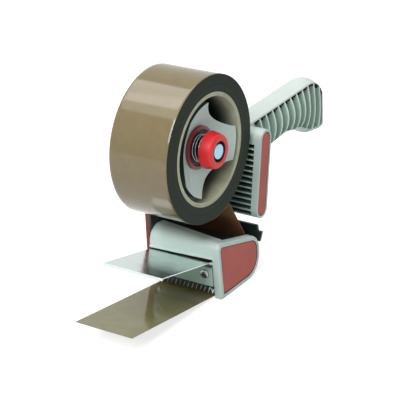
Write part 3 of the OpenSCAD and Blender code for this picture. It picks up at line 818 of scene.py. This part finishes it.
def make_column(material, dark):
    """Finned column, cut from the grip's own mesh just inside its back, with painted shade deep in its slots and
    in the recess round its inlay.
    """
    line = Vector(COLUMN_HEAD) - Vector(COLUMN_FOOT)
    lean = line.normalized()
    up, back = Vector((0, lean.x, lean.y)), Vector((0, lean.y, -lean.x))
    foot = side_point(0, COLUMN_FOOT)
    bm = node_mesh("grip_frame")
    split(bm, foot + back * (COLUMN_HALF - COLUMN_SKIN) * MM, back, keep_inner=True)
    split(bm, foot - back * (COLUMN_HALF - SLOT_LIT) * MM, back)
    for face in bm.faces:
        middle = face.calc_center_median() - foot
        depth, height, x = middle.dot(back) / MM, middle.dot(up) / MM, middle.x / MM
        away = math.hypot(depth, max(-height, height - line.length, 0))
        behind = SLOT_LIT - COLUMN_HALF < depth < SLOT_DEPTH - COLUMN_HALF + 2 * SLOT_SLACK
        within = SLOT_FAR - SLOT_SLACK < x < COLUMN_NEAR - SLOT_WALL + SLOT_SLACK
        in_slot = behind and within and away < COLUMN_HALF - 3 * SLOT_SLACK
        at_recess = RECESS_BAND[1] < COLUMN_NEAR - x < RECESS_BAND[0]
        in_recess = at_recess and away < COLUMN_HALF - RECESS_RIM
        # Faces deep in the slots and in the inlay's recess take the painted shade.
        face.material_index = 1 if in_slot or in_recess else 0
    shade(bm, 180)
    soften(add_piece("column", bm, "grip_frame", [material, dark]), 0.25, 2)


def cheek_outline(inset):
    """Side view of the near cheek, drawn in by an inset."""
    slope = math.atan2(CHEEK_H - CHEEK_H_BACK, CHEEK_BACK - CHEEK_BROW)
    lower = inset / math.cos(slope)
    shift = inset * math.tan(slope)
    return rounded([
        (CHEEK_FRONT + inset, inset, max(1.5 - inset / 3, 0.5)),
        (CHEEK_BACK - inset, inset, CHEEK_LOW_R - inset),
        (CHEEK_BACK - inset, CHEEK_H_BACK - lower + shift, CHEEK_TOP_R - inset),
        (CHEEK_BROW + inset, CHEEK_H - lower - shift, max(CHEEK_BROW_R - inset / 2, 1))], 14)


def add_cheek(bm):
    """Near cheek with rounded outer edges and a recess for its inlay, whose walls and floor carry painted shade.
    """
    rows = [(NEAR_IN, 0.3), (NEAR_IN + 0.3, 0)]
    rows += [(NEAR_OUT - CHEEK_EDGE * (1 - math.sin(a)), CHEEK_EDGE * (1 - math.cos(a)))
             for a in quarter_turn(6)]
    rows += [(NEAR_OUT, RIM - 0.3), (NEAR_OUT - 0.1, RIM - 0.08), (NEAR_OUT - 0.3, RIM),
             (NEAR_OUT - INLAY_DEPTH, RIM)]
    rings = [[bm.verts.new(side_point(x, point)) for point in cheek_outline(inset)] for x, inset in rows]
    bridge(bm, rings[:-1])
    # The recess's walls and floor take the second material, a painted shade.
    bridge(bm, rings[-2:], material=1)
    bm.faces.new(rings[0])
    floor = bm.faces.new(rings[-1])
    floor.material_index = 1


def hood_outline(share):
    """Closed section of the hood, from its free end, 0, to where it joins the cheek, 1."""
    slope = (CHEEK_H - CHEEK_H_BACK) / (CHEEK_BACK - CHEEK_BROW)
    back_z = CHEEK_H - slope * (HOOD_BACK - CHEEK_BROW)
    lip_y = CHEEK_FRONT + (CHEEK_BROW - CHEEK_FRONT) * HOOD_LIP / CHEEK_H
    bead_y = HOOD_FRONT + HOOD_STEP - HOOD_BEAD
    free = [(bead_y, HOOD_LIP, 0.6),
            (bead_y, HOOD_LIP + HOOD_LIP_H, 0.6),
            (HOOD_FRONT + 0.5, HOOD_LIP + HOOD_LIP_TOP, 0.8),
            (HOOD_FRONT, HOOD_TOP, HOOD_R),
            (HOOD_BACK, HOOD_TOP - HOOD_DROP, 1),
            (HOOD_BACK, HOOD_TOP - HOOD_DROP - HOOD_WALL, 1),
            (HOOD_FRONT + HOOD_WALL, HOOD_TOP - HOOD_WALL, HOOD_R - HOOD_WALL),
            (HOOD_FRONT + HOOD_WALL + HOOD_STEP, HOOD_LIP, 0.5)]
    joined = [(lip_y - 0.2, HOOD_LIP, 0.5),
              (lip_y - 0.2, HOOD_LIP + HOOD_LIP_H, 0.6),
              (lip_y - 0.1, HOOD_LIP + HOOD_LIP_TOP, 0.8),
              (CHEEK_BROW, CHEEK_H, CHEEK_BROW_R),
              (HOOD_BACK, back_z, 1),
              (HOOD_BACK, back_z - HOOD_WALL, 1),
              (CHEEK_BROW + HOOD_WALL, CHEEK_H - HOOD_WALL - 0.8, 1.5),
              (lip_y + HOOD_WALL, HOOD_LIP, 0.5)]
    return rounded([tuple(a + (b - a) * share for a, b in zip(first, last))
                    for first, last in zip(free, joined)], 12)


def add_hood(bm):
    """Hood bar that tapers from its free end into the cheek's brow."""
    rings = []
    for share in evenly(0, 1, 36):
        x = FAR_IN + (NEAR_IN + HOOD_LAP - FAR_IN) * share
        rings.append([bm.verts.new(side_point(x, point)) for point in hood_outline(share ** HOOD_SWEEP)])
    bridge(bm, rings, caps=True)


def add_rail(bm):
    """Rail that carries the blade, taken from the housing's own mesh below the hood."""
    rail = node_mesh("head_housing")
    split(rail, side_point(NEAR_IN + 0.5, (0, 0)), (1, 0, 0), keep_inner=True)
    split(rail, side_point(0, (0, RAIL_CUT)), (0, 0, 1), keep_inner=True)
    mesh = to_mesh("rail", rail)
    bm.from_mesh(mesh)
    bpy.data.meshes.remove(mesh)


def make_head(material, dark):
    """Hood, rail and near cheek in one moulding, with painted shade in the cheek's recess."""
    bm = bmesh.new()
    add_cheek(bm)
    add_hood(bm)
    add_rail(bm)
    shade(bm, 40)
    add_piece("head_shell", bm, "head_housing", [material, dark])


def film_path():
    """Middle line of the film in the side view, from the roll to the pulled-out end."""
    roll = Vector((0, ROLL_AXIS.z / MM))
    roller = Vector(((ROLLER_AXIS.y - ROLL_AXIS.y) / MM, ROLLER_AXIS.z / MM))
    roller_film = roller.y - FILM_LOW
    peel, rise = math.radians(PEEL_ANGLE), math.radians(STRIP_RISE)

    def below(centre, radius, turn):
        return centre + radius * Vector((math.sin(turn), -math.cos(turn)))

    def round_roller(turn):
        return roller + roller_film * Vector((math.cos(turn), math.sin(turn)))

    peel_point = below(roll, ROLL_R + FILM_GAP, peel)
    to_peel = peel_point - roller
    web = math.atan2(to_peel.y, to_peel.x) - math.acos(roller_film / to_peel.length)
    flat_start, flat_end = Vector((roller.x, FILM_LOW)), Vector((STRIP_BEND_START, FILM_LOW))
    centre = flat_end + Vector((0, STRIP_BEND))
    bend_end = below(centre, STRIP_BEND, -rise)
    tip = Vector((-STRIP_REACH, bend_end.y + (bend_end.x + STRIP_REACH) * math.tan(rise)))
    points = []
    for t in evenly(0, 1, 16)[:-1]:
        r = ROLL_R + FILM_GAP * smooth_step(0, 1, t) + FILM / 2
        points.append(below(roll, r, peel - math.radians(WRAP_ANGLE) * (1 - t)))
    points += [peel_point.lerp(round_roller(web), t) for t in evenly(0, 1, 12)[:-1]]
    points += [round_roller(turn) for turn in evenly(web, -math.pi / 2, 40)[:-1]]
    points += [flat_start.lerp(flat_end, t) for t in evenly(0, 1, 10)[:-1]]
    points += [below(centre, STRIP_BEND, turn) for turn in evenly(0, -rise, 10)[:-1]]
    points += [bend_end.lerp(tip, t) for t in evenly(0, 1, 40)]
    return points


def make_strip(material):
    """Film from the roll, round the roller and out to the front, very slightly wavy."""
    path = film_path()
    bm = bmesh.new()
    sheets = []
    for sign in (1, -1):
        rows = []
        for i, point in enumerate(path):
            along = (path[min(i + 1, len(path) - 1)] - path[max(i - 1, 0)]).normalized()
            normal = Vector((-along.y, along.x))
            row = []
            for x in evenly(-TAPE_HALF, TAPE_HALF, 24):
                wave = 0.0
                if point.x < STRIP_BEND_START:
                    calm = smooth_step(STRIP_BEND_START, STRIP_BEND_START - FILM_CALM, point.x)
                    wave = FILM_WAVE * calm * noise.noise(Vector((x / 22, point.x / 30, 3.1)))
                row.append(bm.verts.new(side_point(x, point + normal * (sign * FILM / 2 + wave))))
            rows.append(row)
        bridge(bm, rows, closed_ring=False)
        sheets.append(rows)

    def rim(rows):
        return (rows[0] + [row[-1] for row in rows[1:]] + rows[-1][-2::-1]
                + [row[0] for row in rows[-2:0:-1]])

    bridge(bm, [rim(rows) for rows in sheets])
    shade(bm, 50)
    add_piece("tape_film", bm, "tape_strip", [material])


def make_roll(face, side):
    """Wound tape: a glossy, slightly uneven outside and ringed sides."""
    radii = evenly(CORE_R + 0.05, ROLL_R - ROLL_EDGE, 26)

    def layers(sign, seed):
        uneven = [ROLL_UNEVEN * noise.noise(Vector((r * 1.7, seed, 0.2))) for r in radii]
        return [(sign * (TAPE_HALF - ROLL_UNEVEN) + step, r) for step, r in zip(uneven, radii)]

    outside = [(x, ROLL_R) for x in evenly(TAPE_HALF - ROLL_EDGE, ROLL_EDGE - TAPE_HALF, 24)]
    profile = layers(1, 0.5) + outside + layers(-1, 5.5)[::-1]
    bm = bmesh.new()
    rings = []
    for angle in full_turn(240):
        spoke = Vector((0, math.cos(angle), math.sin(angle)))
        ring = []
        for x, r in profile:
            if r == ROLL_R:
                r += ROLL_WAVE * (noise.noise(Vector((x / 14, 0, 0)) + 2.2 * spoke) - 1)
            ring.append(bm.verts.new(ROLL_AXIS + r * MM * spoke + Vector((x * MM, 0, 0))))
        rings.append(ring)
    bridge(bm, rings + rings[:1])
    for part in bm.faces:
        on_side = abs(part.calc_center_median().x) > (TAPE_HALF - ROLL_EDGE / 2 - 0.1) * MM
        part.material_index = 1 if on_side else 0
    shade(bm, 60)
    add_piece("tape_winding", bm, "tape_roll", [face, side])


def flap_point(x, y, z):
    """Place of a point in the flap's own frame, in millimetres."""
    turn = Matrix.Rotation(-math.radians(FLAP_RISE), 3, "X")
    return FLAP_AXIS + turn @ Vector((x, y, z)) * MM


def swept(bm, outline, x0, x1):
    """Prism of a closed outline in the flap's frame, (y, z), between two places across the tape."""
    rings = [[bm.verts.new(flap_point(x, y, z)) for y, z in outline] for x in (x0, x1)]
    bridge(bm, rings, caps=True)


def rolled_knuckle():
    """Outline of the sheet rolled round the pin, from the plate's back round to its underside."""
    outer = [Vector((math.sin(a), math.cos(a))) * KNUCKLE_R
             for a in evenly(0, math.radians(KNUCKLE_TURN), 28)]
    inner = [point * (KNUCKLE_R - FLAP_SHEET) / KNUCKLE_R for point in reversed(outer)]
    return outer + inner


def make_flap(material, edge):
    """Polished leaf with a darker hem, rolled round its pin in two knuckles."""
    bm = bmesh.new()
    top, low = KNUCKLE_R, KNUCKLE_R - FLAP_SHEET
    hem = HEM_THICK - FLAP_LENGTH
    leaf = [(0, top), (0, low), (hem, low), (hem, top - HEM_DROP), (-FLAP_LENGTH, top - HEM_DROP),
            (-FLAP_LENGTH, top)]
    swept(bm, leaf, -FLAP_HALF, FLAP_HALF)
    for x0, x1 in ((-FLAP_HALF, -SPRING_ROOM), (SPRING_ROOM, FLAP_HALF)):
        swept(bm, rolled_knuckle(), x0, x1)
    tip = flap_point(0, -FLAP_LENGTH, top)
    for face in bm.faces:
        turned_down = face.normal.y < -0.8 and abs(face.calc_center_median().y - tip.y) < 1 * MM
        face.material_index = 1 if turned_down else 0
    shade(bm, 180)
    soften(add_piece("flap_leaf", bm, "guard_flap", [material, edge]), 0.22, 3, 60)


def make_brake_spring(material):
    """Coil with closed ends between cup and washer."""
    low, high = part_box("brake_spring")
    first, last = low.x + SPRING_WIRE / 2 * MM, high.x - SPRING_WIRE / 2 * MM
    turns = SPRING_TURNS + 2 * SPRING_END_TURNS
    points = []
    for turn in evenly(0, turns, int(turns * 40)):
        active = min(max((turn - SPRING_END_TURNS) / SPRING_TURNS, 0), 1)
        ease = 0.85 * active + 0.15 * smooth_step(0, 1, active)
        angle = math.tau * turn
        points.append(Vector((first + (last - first) * ease,
                              ROLL_AXIS.y + SPRING_R * MM * math.cos(angle),
                              ROLL_AXIS.z + SPRING_R * MM * math.sin(angle))))
    bm = bmesh.new()
    tube(bm, points, SPRING_WIRE / 2 * MM, 14)
    shade(bm, 60)
    obj = add_piece("brake_coil", bm, "brake_spring", [material])
    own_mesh(obj)


def make_flap_spring(material):
    """Torsion coil on the flap's pin, with a leg down to the rail."""
    low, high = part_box("flap_spring")
    wire, turns = 0.4, 7.25
    r = (high.z - low.z) / 2 - wire * MM
    points = []
    for share in evenly(0, 1, int(turns * 28)):
        angle = math.tau * turns * share
        x = low.x + wire * MM + (high.x - low.x - 2 * wire * MM) * share
        points.append(Vector((x, FLAP_AXIS.y + r * math.sin(angle), FLAP_AXIS.z - r * math.cos(angle))))
    leg = Vector((0, 0.2, 1.2))
    points.append(points[-1] + leg * MM)
    bm = bmesh.new()
    tube(bm, points, wire * MM, 10)
    shade(bm, 60)
    add_piece("flap_coil", bm, "flap_spring", [material])


def screw_mesh(radius, height, shank_radius, length):
    """Pan head screw along +Z with a cross recess, its head's seat at z = 0."""
    bm = bmesh.new()
    dome = [(0, height)]
    for angle in quarter_turn(8)[1:]:
        dome.append((radius * math.sin(angle) ** 0.8, height * (0.35 + 0.65 * math.cos(angle))))
    profile = dome + [(radius, 0), (shank_radius, 0), (shank_radius, -length), (0, -length)]
    rings = []
    for angle in full_turn(40):
        rings.append([bm.verts.new((r * math.cos(angle), r * math.sin(angle), z)) for r, z in profile])
    bridge(bm, rings + rings[:1], closed_ring=False)
    bmesh.ops.remove_doubles(bm, verts=bm.verts, dist=1e-7)
    bmesh.ops.recalc_face_normals(bm, faces=bm.faces)
    return to_mesh("screw_blank", bm)


def cross_cutter(radius, height):
    """Tapered cross that cuts the recess of a screw's head."""
    bm = bmesh.new()
    arm, half = radius * 0.62, radius * 0.13
    corners = [(half, half), (half, arm), (-half, arm), (-half, half), (-arm, half), (-arm, -half),
               (-half, -half), (-half, -arm), (half, -arm), (half, -half), (arm, -half), (arm, half)]
    rings = [[bm.verts.new((x * share, y * share, z)) for x, y in corners]
             for share, z in ((0.55, height * 0.25), (1.1, height * 1.2))]
    bridge(bm, rings, caps=True)
    bmesh.ops.recalc_face_normals(bm, faces=bm.faces)
    return to_mesh("cross", bm)


def cut_mesh(body, cutter):
    """Mesh of a body with a cutter taken out of it."""
    objects = []
    for mesh in (body, cutter):
        obj = bpy.data.objects.new(mesh.name, mesh)
        link(obj)
        objects.append(obj)
    boolean = objects[0].modifiers.new("cut", "BOOLEAN")
    boolean.object = objects[1]
    boolean.operation = "DIFFERENCE"
    boolean.solver = "EXACT"
    bpy.context.view_layer.update()
    depsgraph = bpy.context.evaluated_depsgraph_get()
    done = bpy.data.meshes.new_from_object(objects[0].evaluated_get(depsgraph))
    for obj in objects:
        bpy.data.objects.remove(obj)
    return done


def make_screws(node, axis, material):
    """Cross-recess screws at a node's separate solids, with heads that face against the axis."""
    bm = bmesh.new()
    facing = Vector((0, 0, 0))
    facing[axis] = -1
    turn = Vector((0, 0, 1)).rotation_difference(facing).to_matrix().to_4x4()
    head = SCREW_HEAD * MM
    for low, high in loose_boxes(node):
        middle = (low + high) / 2
        middle[axis] = low[axis] + head
        radius = (high - low)[(axis + 1) % 3] / 2
        length = (high - low)[axis] - head
        mesh = cut_mesh(screw_mesh(radius, head, radius / 2, length), cross_cutter(radius, head))
        mesh.transform(Matrix.Translation(middle) @ turn)
        bm.from_mesh(mesh)
    shade(bm, 30)
    add_piece(node + "_heads", bm, node, [material])


def make_blade(plain, ground):
    """Dark blade with bright teeth, their edges ground on the front."""
    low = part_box("cutter_blade")[0]
    hair = HAIR * MM
    valley = low.z + TOOTH_H * MM
    bm = node_mesh("cutter_blade")
    split(bm, (0, 0, valley), (0, 0, 1))
    slanted = [edge for edge in bm.edges
               if all(v.co.y < low.y + hair and v.co.z < valley + hair for v in edge.verts)
               and abs(edge.verts[0].co.z - edge.verts[1].co.z) > 1 * MM]
    bmesh.ops.bevel(bm, geom=slanted, offset=TOOTH_GRIND * MM, offset_type="OFFSET", segments=1,
                    profile=0.5, affect="EDGES")
    for face in bm.faces:
        face.material_index = 1 if face.calc_center_median().z < valley - hair else 0
    shade(bm, 15)
    add_piece("blade_ground", bm, "cutter_blade", [plain, ground])


def make_hub(material, dark):
    """Hub with dished arms, with painted shade behind them and on the pads that hold the core."""
    bm = node_mesh("hub")
    for face in bm.faces:
        middle = face.calc_center_median()
        facing_out = face.normal.x > 0.5 and middle.x > HUB_FRONT * MM
        # Faces that don't face out near the front take the painted shade.
        face.material_index = 0 if facing_out and roll_radius(middle) < HUB_REACH else 1
    shade(bm, 180)
    soften(add_piece("hub_spider", bm, "hub", [material, dark]), 0.6)


def make_inlay(node, material):
    """Inlay drawn in a little, so that a fine line runs round it."""
    low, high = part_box(node)
    middle, size = (low + high) / 2, (high - low) / MM
    line = INLAY_LINES[node]
    bm = node_mesh(node)
    for vert in bm.verts:
        for axis in (1, 2):
            vert.co[axis] = middle[axis] + (vert.co[axis] - middle[axis]) * (1 - 2 * line / size[axis])
    shade(bm, 180)
    soften(add_piece(node + "_panel", bm, node, [material]), 0.25)


def make_knob(material, dark):
    """Brake knob: a tapered drum with a soft front edge and painted shade in the recess round the axle's end."""
    low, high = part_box("brake_knob")
    back, front = low.x / MM, high.x / MM
    recess = front - KNOB_RECESS
    profile = rounded([
        (back, KNOB_BORE_R, 0.3),
        (back, KNOB_BACK_R, 1.0),
        (front, KNOB_FRONT_R, 2.6),
        (front, KNOB_RECESS_R, 0.5),
        (recess, KNOB_RECESS_R - KNOB_RECESS_DRAFT, 0.2),
        (recess, KNOB_BORE_R, 0.2)])
    bm = bmesh.new()
    turned(bm, profile, 128)
    for face in bm.faces:
        middle = face.calc_center_median()
        inside = roll_radius(middle) < KNOB_RECESS_R - 0.02 and middle.x < high.x - 0.4 * MM
        # Faces inside the recess take the painted shade.
        face.material_index = 1 if inside else 0
    shade(bm, 40)
    add_piece("knob_drum", bm, "brake_knob", [material, dark])


def make_core(material):
    """Cardboard core with soft rims, each with the fine line between its two plies."""
    near = [(TAPE_HALF - depth, r, PLY_ROUND) for r, depth in PLY_LINE]
    far = [(-x, r, round_r) for x, r, round_r in reversed(near)]
    profile = rounded([(-TAPE_HALF, CORE_BORE, 0.5), (TAPE_HALF, CORE_BORE, 0.5)] + near
                      + [(TAPE_HALF, CORE_R, 0.4), (-TAPE_HALF, CORE_R, 0.4)] + far, 4)
    bm = bmesh.new()
    turned(bm, profile, 160)
    shade(bm, 40)
    add_piece("core_tube", bm, "tape_core", [material])


def make_cup(material, dark):
    """Brake cup with painted shade on the floor inside its wall."""
    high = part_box("brake_cup")[1]
    bm = node_mesh("brake_cup")
    for face in bm.faces:
        middle = face.calc_center_median()
        # The floor inside the wall takes the painted shade.
        if face.normal.x > 0.9 and middle.x < high.x - 0.5 * MM:
            face.material_index = 1
    shade(bm, 180)
    soften(add_piece("cup_ring", bm, "brake_cup", [material, dark]), 0.35)


# Stage


def make_camera():
    """Camera at the photograph's viewpoint."""
    right, up = Vector(VIEW_RIGHT), Vector(VIEW_UP)
    back = right.cross(up)
    data = bpy.data.cameras.new("camera")
    data.sensor_width = SENSOR_WIDTH
    data.lens = FOCAL_PIXELS * SENSOR_WIDTH / IMAGE_SIZE
    data.clip_end = 20
    camera = bpy.data.objects.new("camera", data)
    place = Matrix((right, up, back)).transposed().to_4x4()
    camera.matrix_world = Matrix.Translation(Vector(EYE) * MM) @ place
    link(camera)
    bpy.context.scene.camera = camera


def seen_directly(tree):
    """1 for rays that should meet the white background, from the camera, gloss or glass."""
    path = shader_node(tree, "ShaderNodeLightPath").outputs
    seen = path["Is Camera Ray"]
    for kind in ("Is Glossy Ray", "Is Transmission Ray"):
        seen = maths(tree, "MAXIMUM", seen, path[kind])
    return seen


def make_world(strength):
    """Even pale light, white where it is seen."""
    world = bpy.data.worlds.new("studio")
    world.use_nodes = True
    tree = world.node_tree
    tree.nodes.clear()
    level = shader_node(tree, "ShaderNodeMapRange", {"Value": seen_directly(tree), "To Min": strength,
                                                     "To Max": 1.0})
    glow = shader_node(tree, "ShaderNodeBackground", {"Color": (1, 1, 1, 1),
                                                      "Strength": level.outputs["Result"]})
    out = shader_node(tree, "ShaderNodeOutputWorld")
    tree.links.new(glow.outputs[0], out.inputs["Surface"])
    bpy.context.scene.world = world


def make_floor():
    """White floor that keeps the object's soft shadow."""
    mesh = bpy.data.meshes.new("floor")
    corners = [(-1, -1), (1, -1), (1, 1), (-1, 1)]
    mesh.from_pydata([(x * FLOOR_REACH, y * FLOOR_REACH, 0) for x, y in corners], [], [(0, 1, 2, 3)])
    floor = bpy.data.objects.new("floor", mesh)
    floor.location.z = cad_low.z
    link(floor)
    material = bpy.data.materials.new("floor_white")
    material.use_nodes = True
    tree = material.node_tree
    tree.nodes.clear()
    paint = shader_node(tree, "ShaderNodeBsdfDiffuse", {"Color": FLOOR_COLOUR})
    level = maths(tree, "MULTIPLY", seen_directly(tree), FLOOR_GLOW)
    glow = shader_node(tree, "ShaderNodeEmission", {"Strength": level})
    both = shader_node(tree, "ShaderNodeAddShader", {0: paint.outputs[0], 1: glow.outputs[0]})
    out = shader_node(tree, "ShaderNodeOutputMaterial")
    tree.links.new(both.outputs[0], out.inputs["Surface"])
    mesh.materials.append(material)


def make_light(name, place, target, size, power):
    """Square softbox that faces a target."""
    data = bpy.data.lights.new(name, "AREA")
    data.energy = power
    data.size = size
    light = bpy.data.objects.new(name, data)
    light.location = place
    light.rotation_euler = (Vector(target) - Vector(place)).to_track_quat("-Z", "Y").to_euler()
    link(light)


def make_stage():
    """Camera, floor and soft studio light."""
    bpy.context.scene.view_settings.view_transform = "Standard"
    make_camera()
    make_world(WORLD_LEVEL)
    make_floor()
    for name, place, size, power in LIGHTS:
        make_light(name, place, LIT_POINT, size, power)


looks = make_materials()

make_handle(looks["grey"], looks["spine"], looks["rib"], looks["crest"], looks["ledge_shadow"])
make_column(looks["grey"], looks["slot"])
make_head(looks["grey"], looks["deep"])
make_hub(looks["grey"], looks["deep"])
make_inlay("column_inlay", looks["brick"])
make_inlay("cheek_inlay", looks["brick"])
make_cup(looks["cup"], looks["dark"])
for plain_node, look, edge_width in (
        # The blade bracket takes the darker rib wall grey, a painted shade.
        ("blade_bracket", "rib", 0.4),
        ("chassis", "black", 0.4),
        # The side cover takes the darker, painted-shade red.
        ("side_cover", "cover", 0.9),
        ("roller_axle", "steel", 0.4),
        ("flap_pin", "steel", 0.3),
        ("axle", "bolt", 0.3),
        ("axle_nut", "steel", 0.6),
        ("hub_bush", "bush", 0.3),
        ("roller_core", "roller", 0.4),
        ("roller_sleeve", "rubber", 0.5),
        ("brake_washer", "steel", 0.2),
        ("knob_insert", "brass", 0.3)):
    dressed(plain_node, looks[look], edge_width)
make_screws("side_screws", 0, looks["steel"])
make_screws("blade_screws", 1, looks["wire"])
make_blade(looks["blade"], looks["ground"])
make_flap(looks["mirror"], looks["hem"])
make_flap_spring(looks["steel"])
make_brake_spring(looks["wire"])
make_strip(looks["film"])
make_roll(looks["wound"], looks["side"])
make_core(looks["card"])
make_knob(looks["red"], looks["dark"])
make_stage()
